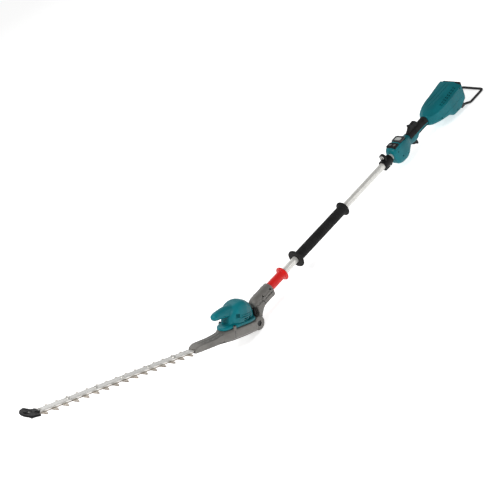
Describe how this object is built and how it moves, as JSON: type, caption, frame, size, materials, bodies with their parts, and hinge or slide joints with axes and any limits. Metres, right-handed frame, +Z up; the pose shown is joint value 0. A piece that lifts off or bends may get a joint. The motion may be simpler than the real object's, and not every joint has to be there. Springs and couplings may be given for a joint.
{
  "type": "pole hedge trimmer",
  "caption": "Battery pole hedge trimmer with a tilting gear case, twin reciprocating toothed blades, round pole, pistol-style rear grip and rear hook.",
  "frame": {"origin": "centre of the footprint box, on the floor that the pivot barrel and the rear hook rest on", "axes": "+X runs back along the pole towards the battery end, +Z is up, and -Y is the tool's left side"},
  "size_m": [2.1862, 0.1022, 0.425],
  "materials": {
    "teal_shell": "moulded, fine texture",
    "black_plastic": "moulded, satin",
    "black_elastomer": "soft grip",
    "gloss_black": "gloss",
    "display_lens": "clear window over a grey display",
    "key_grey": "satin",
    "cast_grey": "die cast, painted warm grey",
    "red_plastic": "semi-gloss",
    "pipe_metal": "drawn, clear anodised",
    "bright_steel": "zinc plated or ground",
    "blade_steel": "ground spring steel",
    "dark_steel": "black oxide",
    "winding": "enamelled copper winding",
    "board_green": "potted circuit board"
  },
  "bodies": {
    "pole": {"elbow_base": "cast_grey", "elbow_cap": "cast_grey", "clamp_screw_1": "dark_steel", "clamp_screw_2": "dark_steel", "clamp_screw_3": "dark_steel", "clamp_screw_4": "dark_steel", "main_pipe": "pipe_metal", "power_lead": "black_elastomer", "red_collar": "red_plastic", "front_grip": "black_elastomer", "hanger_clamp": "black_plastic", "hanger_eyelet": "bright_steel", "hanger_screw": "bright_steel", "grip_shell_left": "teal_shell", "grip_shell_right": "teal_shell", "handle_cover": "black_elastomer", "handle_under_pad": "black_elastomer", "display_panel": "gloss_black", "display_lens": "display_lens", "key_pad": "black_plastic", "switch_body": "black_plastic", "rear_shell_left": "teal_shell", "rear_shell_right": "teal_shell", "battery_rails": "black_plastic", "terminal_block": "black_plastic", "controller_board": "board_green", "rear_hook": "black_elastomer"},
    "head": {"gear_case": "cast_grey", "case_cover": "cast_grey", "bar_screw_1": "dark_steel", "bar_screw_2": "dark_steel", "case_screw_1": "dark_steel", "case_screw_2": "dark_steel", "motor_housing": "teal_shell", "stator": "winding", "low_bearing": "bright_steel", "guide_bar": "bright_steel", "blade_bolt_1": "bright_steel", "blade_bolt_2": "bright_steel", "blade_bolt_3": "bright_steel", "blade_bolt_4": "bright_steel", "blade_bolt_5": "bright_steel", "blade_bolt_6": "bright_steel", "tip_guard": "black_plastic", "guard_screw": "bright_steel", "pivot_bolt": "dark_steel", "pivot_nut": "dark_steel"},
    "motor_rotor": {"rotor": "dark_steel", "fan": "black_plastic", "pinion": "dark_steel"},
    "crank": {"crank_gear": "dark_steel"},
    "cutter_upper": {"upper_blade": "blade_steel", "upper_conrod": "dark_steel"},
    "cutter_lower": {"lower_blade": "blade_steel", "lower_conrod": "dark_steel"},
    "tilt_release": {"angle_lever": "black_plastic"},
    "trigger": {"trigger": "black_plastic"},
    "lock_off": {"lock_off_lever": "black_plastic"},
    "power_button": {"power_key": "key_grey"},
    "speed_button": {"speed_key": "key_grey"}
  },
  "joints": [
    {"name": "head_tilt", "type": "hinge", "parent": "pole", "child": "head", "pos_m": [-0.25005, 0, 0.02402], "axis": [0, 1, 0], "range_deg": [-95, 0]},
    {"name": "crank_spin", "type": "hinge", "parent": "head", "child": "crank", "pos_m": [-0.33724, 0, 0.05736], "axis": [0.4359, 0, 0.9], "continuous": true},
    {"name": "rotor_spin", "type": "hinge", "parent": "head", "child": "motor_rotor", "pos_m": [-0.3143, 0, 0.04736], "axis": [0.4359, 0, 0.9], "continuous": true},
    {"name": "upper_blade_slide", "type": "slide", "parent": "head", "child": "cutter_upper", "axis": [-0.9, 0, 0.4359], "range_m": [-0.01, 0.01]},
    {"name": "lower_blade_slide", "type": "slide", "parent": "head", "child": "cutter_lower", "axis": [-0.9, 0, 0.4359], "range_m": [-0.01, 0.01]},
    {"name": "tilt_release_press", "type": "hinge", "parent": "pole", "child": "tilt_release", "pos_m": [-0.24475, 0, 0.05287], "axis": [0, 1, 0], "range_deg": [0, 8], "stiffness_Nm_per_rad": 0.5, "springref_deg": -8.59},
    {"name": "trigger_pull", "type": "hinge", "parent": "pole", "child": "trigger", "pos_m": [0.69232, 0, 0.05472], "axis": [0, -1, 0], "range_deg": [0, 11], "stiffness_Nm_per_rad": 0.6, "springref_deg": -11.46},
    {"name": "lock_off_press", "type": "hinge", "parent": "pole", "child": "lock_off", "pos_m": [0.75158, 0, 0.07961], "axis": [0, -1, 0], "range_deg": [0, 8], "stiffness_Nm_per_rad": 0.5, "springref_deg": -11.46},
    {"name": "power_key_press", "type": "slide", "parent": "pole", "child": "power_button", "axis": [-0.0103, 0, -0.9999], "range_m": [0, 0.0012], "stiffness_N_per_m": 400, "springref_m": -0.001},
    {"name": "speed_key_press", "type": "slide", "parent": "pole", "child": "speed_button", "axis": [-0.0103, 0, -0.9999], "range_m": [0, 0.0012], "stiffness_N_per_m": 400, "springref_m": -0.001}
  ],
  "couplings": [
    {"joint": "rotor_spin", "follows": "crank_spin", "ratio": -4},
    {"joint": "lower_blade_slide", "follows": "upper_blade_slide", "ratio": -1}
  ]
}
